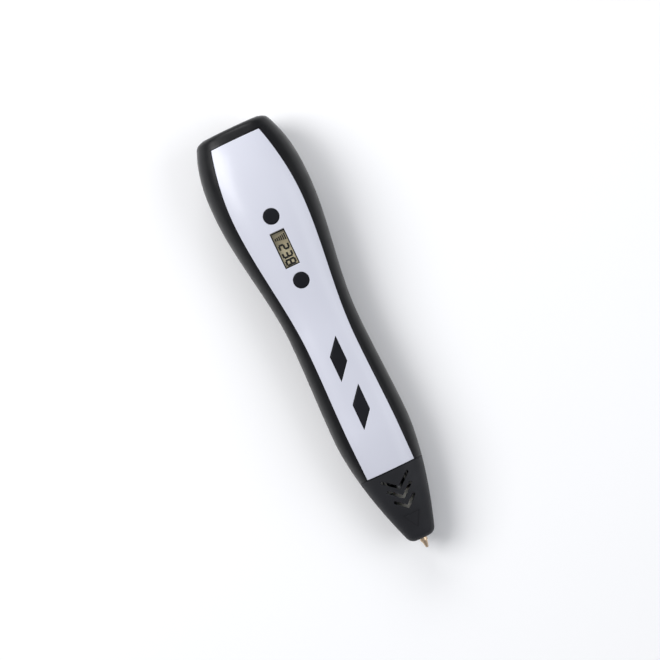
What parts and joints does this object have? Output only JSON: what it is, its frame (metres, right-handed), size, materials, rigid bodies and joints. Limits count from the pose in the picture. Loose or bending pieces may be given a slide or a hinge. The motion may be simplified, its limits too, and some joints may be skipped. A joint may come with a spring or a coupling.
{
  "type": "three d pen",
  "caption": "Handheld pen that feeds plastic filament through a heated nozzle, with a face panel, display window, pressable buttons and rear inlets.",
  "frame": {"origin": "middle of the pen's length and width, on the surface that the pen lies on", "axes": "+Z out of the face panel, +Y towards the rear end with the filament inlet, +X across the pen"},
  "size_m": [0.0412, 0.184, 0.031],
  "materials": {
    "shell": "satin gloss black",
    "panel": "pearl white, glossy",
    "nose": "fine matte texture",
    "button": "satin",
    "lens": "clear",
    "display": "liquid crystal cell with dark figures",
    "brass": "turned",
    "steel": "turned",
    "aluminium": "turned",
    "board": "solder mask",
    "dark_plastic": "moulded",
    "white_plastic": "smooth",
    "sleeve": "woven glass fibre",
    "red_wire": "satin",
    "yellow_wire": "satin",
    "white_wire": "satin",
    "black_wire": "satin"
  },
  "bodies": {
    "pen": {"front_shell": "shell", "rear_shell": "shell", "face_panel": "panel", "nose_cone": "nose", "filament_inlet": "brass", "power_jack": "dark_plastic", "power_jack_pin": "steel", "display_lens": "lens", "display_glass": "display", "display_holder": "white_plastic", "main_board": "board", "board_chips": "dark_plastic", "warmer_switch": "dark_plastic", "cooler_switch": "dark_plastic", "feed_switch": "dark_plastic", "retract_switch": "dark_plastic", "motor": "steel", "gearbox": "brass", "screw_bush": "brass", "feeder_block": "dark_plastic", "arm_pin": "steel", "idler_spring": "steel", "rear_guide_tube": "white_plastic", "front_guide_tube": "white_plastic", "heat_sink": "aluminium", "heat_break": "steel", "heater_barrel": "brass", "insulation_sleeve": "sleeve", "thermistor": "sleeve", "nozzle": "brass", "fan_housing": "dark_plastic", "case_screws": "steel", "board_screws": "steel", "motor_wires": "red_wire", "jack_wires": "yellow_wire", "heater_wires": "white_wire", "sensor_wires": "white_wire", "fan_wires": "black_wire"},
    "warmer_button": {"warmer_button": "button", "warmer_plunger": "dark_plastic"},
    "cooler_button": {"cooler_button": "button", "cooler_plunger": "dark_plastic"},
    "feed_button": {"feed_button": "button", "feed_plunger": "dark_plastic"},
    "retract_button": {"retract_button": "button", "retract_plunger": "dark_plastic"},
    "feed_screw": {"output_shaft": "steel", "feed_screw": "steel"},
    "idler_arm": {"idler_arm": "dark_plastic", "roller_pin": "steel"},
    "idler_roller": {"idler_roller": "steel"},
    "fan_rotor": {"fan_rotor": "dark_plastic"}
  },
  "joints": [
    {"name": "warmer_press", "type": "slide", "parent": "pen", "child": "warmer_button", "axis": [0, 0, -1], "range_m": [0, 0.0005], "stiffness_N_per_m": 400},
    {"name": "cooler_press", "type": "slide", "parent": "pen", "child": "cooler_button", "axis": [0, 0, -1], "range_m": [0, 0.0005], "stiffness_N_per_m": 400},
    {"name": "feed_press", "type": "slide", "parent": "pen", "child": "feed_button", "axis": [0, 0, -1], "range_m": [0, 0.0005], "stiffness_N_per_m": 400},
    {"name": "retract_press", "type": "slide", "parent": "pen", "child": "retract_button", "axis": [0, 0, -1], "range_m": [0, 0.0005], "stiffness_N_per_m": 400},
    {"name": "feed_screw_spin", "type": "hinge", "parent": "pen", "child": "feed_screw", "pos_m": [-0.00417, 0.018, 0.0115], "axis": [0, 1, 0], "continuous": true},
    {"name": "idler_arm_swing", "type": "hinge", "parent": "pen", "child": "idler_arm", "pos_m": [0.0064, 0.0005, 0.0115], "axis": [0, 0, -1], "range_deg": [0, 3], "stiffness_Nm_per_rad": 0.01, "springref_deg": -1.15, "deforming": ["idler_spring"]},
    {"name": "idler_roller_spin", "type": "hinge", "parent": "idler_arm", "child": "idler_roller", "pos_m": [0.00387, 0.01, 0.0115], "axis": [0, 0, 1], "continuous": true},
    {"name": "fan_spin", "type": "hinge", "parent": "pen", "child": "fan_rotor", "pos_m": [0, -0.0385, 0.005], "axis": [0, 0, 1], "continuous": true}
  ],
  "couplings": [
    {"joint": "idler_roller_spin", "follows": "feed_screw_spin", "ratio": 0.1061}
  ]
}
